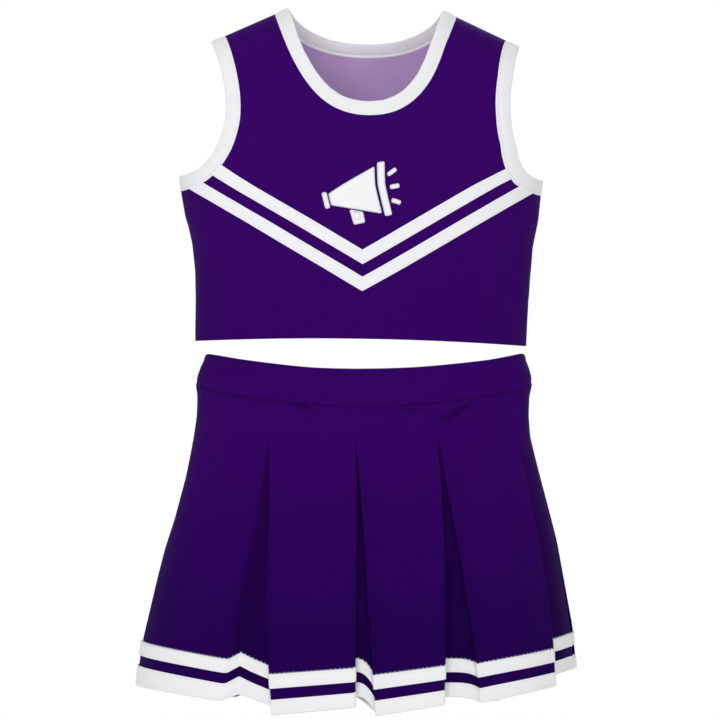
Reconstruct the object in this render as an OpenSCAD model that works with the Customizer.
// Two-piece sleeveless cheer uniform: a cropped shell top and a pleated skirt.
// Millimetres. +Z is up, the front faces -Y, +X is the viewer's right.
// The floor plane z = 0 is the lowest point of the skirt hem.

/* [Top] */
// Half width of the top under the arms
chest_half_w = 162; // [156:1:170]
// Half depth of the top, front to back, at the chest
chest_half_d = 71; // [60:1:80]
// Thickness of the knit body cloth of the top
top_cloth_t = 1.2; // [1.0:0.1:1.6]
// Width of the bound edge round the neck
neck_bind_w = 10.8; // [8:0.2:13]
// Width of the bound edge round each armhole
arm_bind_w = 11.7; // [9:0.1:13]
// Thickness of the folded edge bindings
bind_t = 2.4; // [2.0:0.1:3.0]
// Half width of the neck opening at the shoulder
neck_half_w = 81; // [76:1:84]
// Height of the front neck edge above the floor
neck_front_z = 538; // [525:1:550]
// Height of the back neck edge above the floor
neck_back_z = 591; // [580:1:596]
// Lean of the top about the front-to-back axis
top_lean = 0.9; // [0:0.1:1.5]

/* [Chevron] */
// Height of the point of the upper stripe
chevron_z = 416; // [405:1:430]
// Rise of the stripes per unit of width
chevron_slope = 0.578; // [0.50:0.01:0.60]
// Height of each stripe measured straight up
stripe_h = 12.2; // [10:0.2:13]
// Clear height of body cloth between the stripes
stripe_gap = 12.1; // [10:0.1:14]
// Thickness of the stripe braid
braid_t = 0.7; // [0.5:0.1:1.0]

/* [Emblem] */
// Overall width of the megaphone applique
emblem_w = 70; // [55:1:78]
// Height of the middle of the applique
emblem_z = 467; // [460:1:474]

/* [Waist] */
// Half width of the skirt at the waist edge
waist_half_w = 142; // [138:1:146]
// Half depth of the skirt at the waist edge
waist_half_d = 61; // [55:1:68]
// Height of the waist edge at the sides
waist_z = 322; // [318:1:325]
// Width of the elastic inside the waistband
elastic_w = 22; // [18:1:24]

/* [Pleats] */
// Half width of the skirt at the hem
hem_half_w = 197; // [190:1:205]
// Half depth of the skirt at the hem
hem_half_d = 120; // [105:1:130]
// Thickness of the pleat cloth
pleat_t = 1.0; // [0.8:0.1:1.2]
// Inside radius of the pleat folds, measured to the middle of the cloth
fold_r = 1.3; // [1.2:0.1:1.5]
// Length of cloth folded back under each pleat edge
return_w = 15; // [12:1:18]
// Height of each hem stripe
hem_braid_h = 12; // [10:0.5:13]
// Clear height of skirt cloth between the hem stripes
hem_gap = 10; // [8:0.5:12]

/* [Hidden] */

PURPLE = [0.20, 0.0, 0.36];
DEEP = [0.15, 0.0, 0.29];
WHITE = [0.94, 0.94, 0.95];

// Sides of the garment; they also index the hem tables
FRONT = 0;
BACK = 1;

// ---------- general helpers ----------
function mix(a, b, t) = a + (b - a) * t;
function bezier(p, t) = let (s = 1 - t)
  s*s*s*p[0] + 3*s*s*t*p[1] + 3*s*t*t*p[2] + t*t*t*p[3];
function quad(a, b, c, d) = [[a, b, c], [a, c, d]];
// Outward normal of a grid of points, rows running down, columns left to right
function grid_normal(grid, i, j) = let (
  last_row = len(grid) - 1,
  last_col = len(grid[0]) - 1,
  across = grid[i][min(j+1, last_col)] - grid[i][max(j-1, 0)],
  down = grid[min(i+1, last_row)][j] - grid[max(i-1, 0)][j],
  n = cross(down, across)) n / norm(n);

// A closed thick sheet between two offsets of a grid
module sheet(grid, inner, outer) {
  rows = len(grid);
  cols = len(grid[0]);
  r = rows - 1;
  c = cols - 1;
  function in(i, j) = i*cols + j;
  function out(i, j) = rows*cols + in(i, j);
  points = [for (off = [inner, outer]) for (i = [0:r]) for (j = [0:c])
    grid[i][j] + off * grid_normal(grid, i, j)];
  faces = concat(
    [for (i = [0:r-1]) for (j = [0:c-1]) each concat(
      quad(out(i, j), out(i, j+1), out(i+1, j+1), out(i+1, j)),
      quad(in(i, j), in(i+1, j), in(i+1, j+1), in(i, j+1)))],
    [for (j = [0:c-1]) each concat(
      quad(in(0, j), in(0, j+1), out(0, j+1), out(0, j)),
      quad(in(r, j), out(r, j), out(r, j+1), in(r, j+1)))],
    [for (i = [0:r-1]) each concat(
      quad(in(i, 0), out(i, 0), out(i+1, 0), in(i+1, 0)),
      quad(in(i, c), in(i+1, c), out(i+1, c), out(i, c)))]);
  polyhedron(points = points, faces = faces, convexity = 8);
}

// ---------- surface of the top ----------
TOP_X = 6.3;            // middle of the top
TOP_LOW = 334;          // nominal hem level
TOP_HIGH = 636;         // nominal level of the shoulder line at the neck
LEAN_PIVOT = [TOP_X, 0, 461];
SHOULDER_Z = 626.8;     // shoulder line at SHOULDER_X, beside the neck
SHOULDER_X = 81.2;
SHOULDER_SLOPE = 0.447;
SHOULDER_FLAT_X = 60;   // the shoulder line is level inside this
TOP_POWER = 2.3;        // superellipse exponent of the plan section
ROUND_POWER = 2.2;      // exponent of the rounding over the shoulder
ROUND_H = 62;           // height of that rounding
// [level, half width] and [level, half depth], for a 162 x 71 chest
TOP_HALF_WS = [[330, 148.3], [355, 148.8], [380, 149.6], [407, 151.8],
  [437, 155.5], [466, 162], [500, 165], [640, 166]];
TOP_HALF_DS = [[330, 64], [380, 66], [430, 70], [466, 71],
  [500, 69], [540, 62], [580, 55], [640, 50]];
function top_half_w(z) = chest_half_w / 162 * lookup(z, TOP_HALF_WS);
function top_half_d(z) = chest_half_d / 71 * lookup(z, TOP_HALF_DS);
// Heights of the shoulder line and the hem at a distance from the middle
function shoulder_z(dist) =
  SHOULDER_Z - SHOULDER_SLOPE * (max(dist, SHOULDER_FLAT_X) - SHOULDER_X);
function hem_z(dist) = 336.5 - 4.5 * (dist/150) * (dist/150);
function rounding(t) =
  t >= 1 ? 1 : pow(1 - pow(1 - max(t, 0), ROUND_POWER), 1/ROUND_POWER);
// Angles 180 to 360 are the front, 360 to 540 the back; drop is 0 at the shoulder, 1 at the hem
function top_pt(ang, drop) = let (
  up = 1 - drop,
  level = mix(TOP_LOW, TOP_HIGH, up),
  x = top_half_w(level) * cos(ang),
  depth = pow(max(1 - pow(abs(cos(ang)), TOP_POWER), 0), 1/TOP_POWER),
  side = ang > 360 ? 1 : -1)
  [TOP_X + x,
   side * top_half_d(level) * depth * rounding(drop * (TOP_HIGH - TOP_LOW) / ROUND_H),
   mix(hem_z(abs(x)), shoulder_z(abs(x)), up)];
TOP_ROWS = 22;
TOP_COLS = 30;
// Rows lie closer together near the shoulder
function top_grid(ang0) = [for (i = [0:TOP_ROWS]) [for (j = [0:TOP_COLS])
  top_pt(ang0 + 180 * j / TOP_COLS, pow(i / TOP_ROWS, 1.25))]];
TOP_FRONT = top_grid(180);
TOP_BACK = top_grid(360);

// ---------- outlines cut through the top, in x and z about its middle ----------
OUTLINE_TOP = 720;      // above everything
CURVE_STEPS = 20;
// Bezier control points from the shoulder inwards and down
ARMHOLE = [[129.7, 605.1], [104, 548], [115, 480], [164, 467.5]];
function neck_curve(inset, rise, reach, edge_z) = [
  [neck_half_w, shoulder_z(neck_half_w)],
  [neck_half_w - inset, mix(edge_z, SHOULDER_Z, rise)],
  [reach, edge_z],
  [0, edge_z]];
NECK_FRONT = neck_curve(19, 0.42, 46, neck_front_z);
NECK_BACK = neck_curve(15, 0.36, 40, neck_back_z);
// Points along a Bezier curve, moved sideways by off
function curve(p, off) = [for (i = [0:CURVE_STEPS]) let (
  t = i / CURVE_STEPS,
  step = 0.01,
  chord = bezier(p, min(t + step, 1)) - bezier(p, max(t - step, 0)),
  u = chord / norm(chord))
  bezier(p, t) + off * [-u[1], u[0]]];
// Region cut away by the right armhole; grow widens it into the cloth
function arm_region(grow) = let (
  c = curve(ARMHOLE, grow),
  first = c[0],
  last = c[CURVE_STEPS])
  concat([first + [27, 60], first + [0, 40]], c,
    [[260, last[1] - 24], [260, OUTLINE_TOP]]);
function neck_region(neck, grow) = let (c = curve(neck, -grow))
  concat([[c[0][0], OUTLINE_TOP]],
    [for (q = c) [max(q[0], 0), q[1]]],
    [for (i = [CURVE_STEPS-1:-1:0]) [-max(c[i][0], 0), c[i][1]]],
    [[-c[0][0], OUTLINE_TOP]]);
module both_sides() {
  children();
  mirror([1, 0]) children();
}
module arms(grow) both_sides() polygon(arm_region(grow));

module lean() translate(LEAN_PIVOT) rotate([0, top_lean, 0]) translate(-LEAN_PIVOT) children();
SPLIT = 0.12;           // cuts stop this far from the plane between front and back
CUT_DEPTH = 140;
// A flat outline pushed through a layer of the front or back half.
// The zero resize keeps the size; it makes the cut one body before the lean.
module cut(side, inner, outer) lean() resize([0, 0, 0]) intersection() {
  sheet(side == FRONT ? TOP_FRONT : TOP_BACK, inner, outer);
  translate([TOP_X, 0, 0]) rotate([90, 0, 0])
    translate([0, 0, side == FRONT ? SPLIT : -CUT_DEPTH - SPLIT])
      linear_extrude(CUT_DEPTH) children();
}
module cut_both(inner, outer) {
  cut(FRONT, inner, outer) children();
  cut(BACK, inner, outer) children();
}

// ---------- pieces of the top ----------
CLOTH = top_cloth_t / 2;    // middle of the cloth to its face
BIND = bind_t / 2;
LIFT = 0.05;                // clearance under applied pieces
UNDERLAP = 0.15;            // bindings reach this far past the cloth edge line

module body_outline(neck) difference() {
  translate([-240, 300]) square([480, 400]);
  arms(0);
  polygon(neck_region(neck, 0));
}
module top_front_panel() color(PURPLE) cut(FRONT, -CLOTH, CLOTH) body_outline(NECK_FRONT);
module top_back_panel() color(PURPLE) cut(BACK, -CLOTH, CLOTH) body_outline(NECK_BACK);

// The region beyond a negative growth is smaller, so the ring lies between two growths
module neck_ring(neck) intersection() {
  polygon(neck_region(neck, UNDERLAP));
  difference() {
    square([400, 1500], center = true);
    polygon(neck_region(neck, neck_bind_w));
  }
}
module neck_binding() color(WHITE) {
  cut(FRONT, -BIND, BIND) neck_ring(NECK_FRONT);
  cut(BACK, -BIND, BIND) neck_ring(NECK_BACK);
}
module arm_ring(s) scale([s, 1]) intersection() {
  polygon(arm_region(UNDERLAP));
  difference() {
    translate([0, 300]) square([300, 400]);
    polygon(arm_region(arm_bind_w));
  }
}
module armhole_binding(s) color(WHITE) cut_both(-BIND, BIND) arm_ring(s);

// V-shaped stripe with its upper point at z_point
module stripe(z_point) {
  reach = 240;
  z_end = z_point + reach * chevron_slope;
  polygon([[0, z_point], [reach, z_end], [reach, z_end - stripe_h],
    [0, z_point - stripe_h], [-reach, z_end - stripe_h], [-reach, z_end]]);
}
module chevron(z_point) color(WHITE) cut(FRONT, CLOTH + LIFT, CLOTH + braid_t) difference() {
  stripe(z_point);
  arms(-0.6);
  both_sides() translate([chest_half_w - 3, 300]) square([100, 400]);
}

// Megaphone drawn 70 wide: body, bell ring, mouthpiece, three bars past the bell, grip
module megaphone() {
  size = emblem_w / 70;
  bar = [8, 3.4];
  translate([0, emblem_z]) scale([size, size]) rotate(12) {
    polygon([[-29, -5], [-29, 5], [14, 21], [14, -21]]);
    translate([17, -24]) square([6, 48]);
    translate([-35, -7]) square([4, 14]);
    translate([27, 10]) rotate(28) square(bar);
    translate([27.5, -1.7]) square(bar);
    translate([27, -10]) rotate(-28) translate([0, -3.4]) square(bar);
    difference() {
      polygon([[-16, -6], [0, -6], [-2, -26], [-13, -26]]);
      polygon([[-12, -13], [-4, -15], [-5, -22], [-10.5, -22]]);
      polygon([[-29, -6.5], [-29, 6.5], [16, 23.5], [16, -23.2]]);
    }
  }
}
module chest_emblem() color(WHITE) cut(FRONT, CLOTH + LIFT, CLOTH + 0.75) megaphone();

// Turned-up hem allowance inside the bottom edge, left open at the side seams
module hem_strip() polygon(concat(
  [for (x = [-200:20:200]) [x, hem_z(abs(x)) + 0.6]],
  [for (x = [200:-20:-200]) [x, hem_z(abs(x)) + 20]]));
module top_hem_facing() color(DEEP) cut_both(-CLOTH - 1.1, -CLOTH - 0.1) difference() {
  hem_strip();
  for (s = [-1, 1]) translate([s * 149 - 9, 300]) square([18, 80]);
}

// Seam allowance flat against the inside of the cloth; s is -1 left, 1 right
module side_seam(s) color(DEEP) lean() sheet(
  [for (i = [0:12]) [for (j = [0:8])
    let (p = top_pt(360 + s * mix(-7, 7, j / 8), mix(0.575, 0.93, i / 12)))
    [TOP_X + s * (p[0] - TOP_X), p[1], p[2]]]],
  -CLOTH - 1.8, -CLOTH - 0.8);

// Stay tape lying under the shoulder seam
module shoulder_seam(s) color(DEEP) lean() resize([0, 0, 0]) intersection() {
  union() {
    sheet(TOP_FRONT, -CLOTH - 1.2, -CLOTH - 0.3);
    sheet(TOP_BACK, -CLOTH - 1.2, -CLOTH - 0.3);
  }
  translate([TOP_X + s * 105.5, 0, 600]) cube([42, 16, 100], center = true);
}

// ---------- surface of the skirt ----------
// Growth over the measured waist (142 x 61) and hem (197 x 120)
waist_dw = waist_half_w - 142;
hem_dw = hem_half_w - 197;
waist_dd = waist_half_d - 61;
hem_dd = hem_half_d - 120;
// [level, half width]
SKIRT_HALF_WS = [
  [0, 202 + hem_dw], [26, 197.3 + hem_dw], [65, 192.8 + hem_dw * 0.85],
  [123, 181 + hem_dw * 0.6], [147, 175.8 + hem_dw * 0.5], [173, 168.4 + hem_dw * 0.4],
  [191, 163.8 + hem_dw * 0.3], [211, 158.6 + hem_dw * 0.2],
  [231, 154.2], [247, 150.9], [266, 148.9], [283, 148.9 + waist_dw * 0.5],
  [292, 150 + waist_dw], [301, 149.2 + waist_dw],
  [312, 145.6 + waist_dw], [323, 142 + waist_dw]];
// [level, half depth]
SKIRT_HALF_DS = [
  [0, 123 + hem_dd], [26, 120 + hem_dd], [123, 98 + hem_dd * 0.6],
  [191, 83 + hem_dd * 0.3], [247, 72], [266, 69], [283, 67 + waist_dd * 0.5],
  [292, 67 + waist_dd], [301, 66 + waist_dd],
  [312, 63.5 + waist_dd], [323, 61 + waist_dd]];
// [level, x of the middle]
SKIRT_MIDDLES = [[0, 0], [26, 0.3], [65, 1.5], [123, 3.4], [173, 5.6],
  [211, 6], [247, 5.4], [283, 6.6], [323, 8.2]];
SEAM_LEVEL = 292;       // nominal foot of the waistband
EDGE_LEVEL = 322;       // nominal waist edge
function skirt_x(level) = lookup(level, SKIRT_MIDDLES);
// The waist lines dip towards the middle of the front and back
function dip(ang) = sin(ang) * sin(ang);
function edge_z(ang) = waist_z - 13.5 * dip(ang);
function seam_z(ang) = SEAM_LEVEL - 16.5 * dip(ang);
function stitch_z(ang) = 251 - 9 * dip(ang);
// Skirt point at an angle: plan taken at a nominal level, real height z, moved out by off
function skirt_pt(level, ang, z, off) = let (
  a = lookup(level, SKIRT_HALF_WS),
  b = lookup(level, SKIRT_HALF_DS),
  n = [b * cos(ang), a * sin(ang)],
  u = n / norm(n))
  [skirt_x(level) + a * cos(ang) + off * u[0], b * sin(ang) + off * u[1], z];

// ---------- waistband and yoke ----------
// Closed band swept round the waist: profile of [offset, height share, extra height]
module waist_ring(profile) {
  steps = 52;
  count = len(profile);
  points = [for (j = [0:steps-1]) let (ang = 360 * j / steps) for (p = profile)
    skirt_pt(mix(SEAM_LEVEL, EDGE_LEVEL, p[1]), ang,
      mix(seam_z(ang), edge_z(ang), p[1]) + p[2], p[0])];
  faces = [for (j = [0:steps-1]) for (i = [0:count-1])
    let (here = j * count, there = (j + 1) % steps * count, i2 = (i + 1) % count)
    each quad(here + i, here + i2, there + i2, there + i)];
  polyhedron(points = points, faces = faces, convexity = 8);
}
// Folded casing: outer leaf, fold at the waist edge, inner leaf, then back along the inside
module waistband_casing() color(PURPLE) waist_ring([
  [0.6, 0, 0.2], [0.6, 0.5, 0], [0.5, 0.96, 0], [-0.5, 1, 0],
  [-2.6, 1, 0], [-3.8, 0.96, 0], [-3.9, 0.5, 0], [-3.9, 0, 0.2],
  [-2.9, 0, 0.2], [-2.9, 0.5, 0], [-2.8, 0.93, 0],
  [-0.7, 0.93, 0], [-0.5, 0.5, 0], [-0.5, 0, 0.2]]);
module waistband_elastic() color(WHITE) {
  low = 0.08;
  high = low + elastic_w / 28.5;    // 28.5 mm of elastic would span a share of 1
  middle = mix(low, high, 0.5);
  waist_ring([[-0.9, low, 0], [-0.9, middle, 0], [-0.95, high, 0],
    [-2.5, high, 0], [-2.5, middle, 0], [-2.5, low, 0]]);
}
// Fitted band between the waistband and the released pleats
module skirt_yoke(ang0) color(PURPLE) sheet(
  [for (i = [0:5]) [for (j = [0:30])
    let (ang = ang0 + mix(0.15, 179.85, j / 30), drop = i / 5)
    skirt_pt(mix(SEAM_LEVEL, 249, drop), ang,
      mix(seam_z(ang) - 0.15, stitch_z(ang) + 0.2, drop), 0)]],
  -0.5, 0.5);

// ---------- pleats, left to right as seen from outside each side ----------
// Edge angles: [left, right] at the stitch line, then [left, right] at the hem
PLEAT_ANGLES = [
  [180, 236, 180, 233.1],
  [236, 267.9, 246.6, 269.8],
  [267.9, 297.1, 274.4, 293.8],
  [297.1, 338.4, 305.2, 335.1],
  [338.4, 360, 334.6, 360]];
// How far the [left, right] edge stands off at the hem
STAND_OFF = [[0, 3], [1.5, 3], [-5, 3], [-5, 3], [-6, 0]];
// Hem heights at the [left, right] edge: a front row, then a back row
HEM_Z = [
  [[25.5, 12.5], [0.5, 7.3], [0, 9.3], [11.2, 22.9], [32, 38]],
  [[41, 27], [20, 21], [19, 21], [21, 26], [30, 33]]];
// Underlay hem heights [out from under the fold, in under the next pleat], rows as above
UNDER_Z = [
  [[18.5, 8.5], [15.3, 4], [16.1, 12.5], [32, 34], [42, 43]],
  [[30, 24], [26, 21], [27, 23], [33, 34], [36, 31]]];
// Underlay width hidden under the next pleat at the hem
HIDDEN_W = [34, 27, 30, 33, 55];
EDGE_GAP = 0.35;        // clearance between neighbouring pleats
PLEAT_ROWS = 6;
FACE_STEPS = 7;
UNDER_STEPS = 3;        // underlay in view
HIDDEN_STEPS = 2;       // underlay beneath the next pleat
UNDER_START = FACE_STEPS + 1 + 3 + 3 + 3;   // after face, fold, return, fold

// drop runs 0 at the stitch line to 1 at the hem
function drop_level(drop) = mix(250, 26, drop);
function edge_ang(k, edge, drop) = mix(PLEAT_ANGLES[k][edge], PLEAT_ANGLES[k][2 + edge], drop);
function chord(level, ang) = skirt_pt(level, ang + 1, 0, 0) - skirt_pt(level, ang - 1, 0, 0);
function mm_per_deg(level, ang) = norm(chord(level, ang)) / 2;
function hang_pt(ang, drop, z_hem, off) =
  skirt_pt(drop_level(drop), ang, mix(stitch_z(ang), z_hem, drop), off);
// Inner points of a half-round fold; way is 1 for a fold bulging to the right, -1 to the left
function fold(ang, drop, z_start, z_end, off, way) = let (
  g = chord(drop_level(drop), ang),
  along = g / norm(g),
  outward = [along[1], -along[0], 0])
  [for (t = [45, 90, 135]) hang_pt(ang, drop, mix(z_start, z_end, t / 180), off - fold_r)
    + fold_r * (cos(t) * outward + way * sin(t) * along)];
// One row across pleat k: face, fold, return, fold, underlay, hidden underlay
function pleat_row(k, drop, side) = let (
  level = drop_level(drop),
  left_edge = edge_ang(k, 0, drop),
  left = left_edge + EDGE_GAP / mm_per_deg(level, left_edge),
  right_edge = edge_ang(k, 1, drop),
  right = right_edge - (fold_r + pleat_t / 2 + EDGE_GAP) / mm_per_deg(level, right_edge),
  inner = right - mix(return_w - 3, return_w, drop) / mm_per_deg(level, right),
  last = k == 4,
  next = (k + 1) % 5,
  meet = edge_ang(next, 0, drop) + (last ? 180 : 0),
  end = meet + mix(8, HIDDEN_W[k], drop) / mm_per_deg(level, meet),
  z_left = HEM_Z[side][k][0],
  z_right = HEM_Z[side][k][1],
  z_inner = UNDER_Z[side][k][0] + 2,
  z_meet = UNDER_Z[side][k][1],
  z_next = HEM_Z[last ? 1 - side : side][next][0],
  off_left = STAND_OFF[k][0] * drop,
  off_right = STAND_OFF[k][1] * drop,
  off_inner = off_right - 2 * fold_r - mix(0, 4.5, drop),
  off_meet = mix(-4 * fold_r,
    STAND_OFF[next][0] - 3.3 - 0.25 * max(0, z_meet - z_next) - (last ? 1 : 0), drop),
  z_fold = mix(z_right, z_inner, 0.25),
  z_return = mix(z_right, z_inner, 0.75))
  concat(
    [for (j = [0:FACE_STEPS]) let (
      ang = mix(left, right, j / FACE_STEPS),
      share = (cos(ang) - cos(left)) / (cos(right) - cos(left)))
      hang_pt(ang, drop, mix(z_left, z_right, share), mix(off_left, off_right, j / FACE_STEPS))],
    fold(right, drop, z_right, z_fold, off_right, 1),
    [for (j = [0:2]) hang_pt(mix(right, inner, j / 2), drop,
      mix(z_fold, z_return, j / 2), mix(off_right - 2 * fold_r, off_inner, j / 2))],
    fold(inner, drop, z_return, z_inner, off_inner, -1),
    [for (j = [0:UNDER_STEPS]) let (t = j / UNDER_STEPS) hang_pt(mix(inner, meet, t), drop,
      mix(z_inner, z_meet, t), mix(off_inner - 2 * fold_r, off_meet, t))],
    [for (j = [1:HIDDEN_STEPS]) let (t = j / HIDDEN_STEPS)
      hang_pt(mix(meet, end, t), drop, z_meet + 2 * t, off_meet - 0.8 * t)]);
// Back rows are laid out as front rows, then turned half a turn about the skirt's middle
function half_turn(p, level) = [2 * skirt_x(level) - p[0], -p[1], p[2]];
function pleat_grid(k, drops, side) = [for (drop = drops) [for (p = pleat_row(k, drop, side))
  side == BACK ? half_turn(p, drop_level(drop)) : p]];
module pleat(k, side) color(PURPLE) sheet(
  pleat_grid(k, [for (i = [0:PLEAT_ROWS]) pow(i / PLEAT_ROWS, 0.9)], side),
  -pleat_t / 2, pleat_t / 2);

// One hem stripe on the face and underlay of pleat k, its foot at a height above the hem
UPPER = hem_braid_h + hem_gap;
LOWER = 0;
function columns(grid, j0, j1) = [for (row = grid) [for (j = [j0:j1]) row[j]]];
module hem_braid(k, side, foot) color(WHITE) {
  full_drop = 236;      // height that counts as a drop of 1
  grid = pleat_grid(k, [for (t = [1, 0.5, 0]) 1 - (foot + t * hem_braid_h) / full_drop], side);
  off = pleat_t / 2 + 0.3;
  sheet(columns(grid, 0, FACE_STEPS), off, off + 0.6);
  sheet(columns(grid, UNDER_START, UNDER_START + UNDER_STEPS + HIDDEN_STEPS), off, off + 0.6);
}

top_front_panel();
top_back_panel();
neck_binding();
armhole_binding(-1);  // armhole_binding_left
armhole_binding(1);  // armhole_binding_right
chevron(chevron_z);  // chevron_braid_upper
chevron(chevron_z - stripe_h - stripe_gap);  // chevron_braid_lower
chest_emblem();
top_hem_facing();
side_seam(-1);  // side_seam_left
side_seam(1);  // side_seam_right
shoulder_seam(-1);  // shoulder_seam_left
shoulder_seam(1);  // shoulder_seam_right
waistband_casing();
waistband_elastic();
skirt_yoke(180);  // skirt_yoke_front
skirt_yoke(360);  // skirt_yoke_back
pleat(0, FRONT);  // pleat_front_1
pleat(1, FRONT);  // pleat_front_2
pleat(2, FRONT);  // pleat_front_3
pleat(3, FRONT);  // pleat_front_4
pleat(4, FRONT);  // pleat_front_5
pleat(0, BACK);  // pleat_back_1
pleat(1, BACK);  // pleat_back_2
pleat(2, BACK);  // pleat_back_3
pleat(3, BACK);  // pleat_back_4
pleat(4, BACK);  // pleat_back_5
hem_braid(0, FRONT, UPPER);  // hem_braid_upper_front_1
hem_braid(1, FRONT, UPPER);  // hem_braid_upper_front_2
hem_braid(2, FRONT, UPPER);  // hem_braid_upper_front_3
hem_braid(3, FRONT, UPPER);  // hem_braid_upper_front_4
hem_braid(4, FRONT, UPPER);  // hem_braid_upper_front_5
hem_braid(0, BACK, UPPER);  // hem_braid_upper_back_1
hem_braid(1, BACK, UPPER);  // hem_braid_upper_back_2
hem_braid(2, BACK, UPPER);  // hem_braid_upper_back_3
hem_braid(3, BACK, UPPER);  // hem_braid_upper_back_4
hem_braid(4, BACK, UPPER);  // hem_braid_upper_back_5
hem_braid(0, FRONT, LOWER);  // hem_braid_lower_front_1
hem_braid(1, FRONT, LOWER);  // hem_braid_lower_front_2
hem_braid(2, FRONT, LOWER);  // hem_braid_lower_front_3
hem_braid(3, FRONT, LOWER);  // hem_braid_lower_front_4
hem_braid(4, FRONT, LOWER);  // hem_braid_lower_front_5
hem_braid(0, BACK, LOWER);  // hem_braid_lower_back_1
hem_braid(1, BACK, LOWER);  // hem_braid_lower_back_2
hem_braid(2, BACK, LOWER);  // hem_braid_lower_back_3
hem_braid(3, BACK, LOWER);  // hem_braid_lower_back_4
hem_braid(4, BACK, LOWER);  // hem_braid_lower_back_5
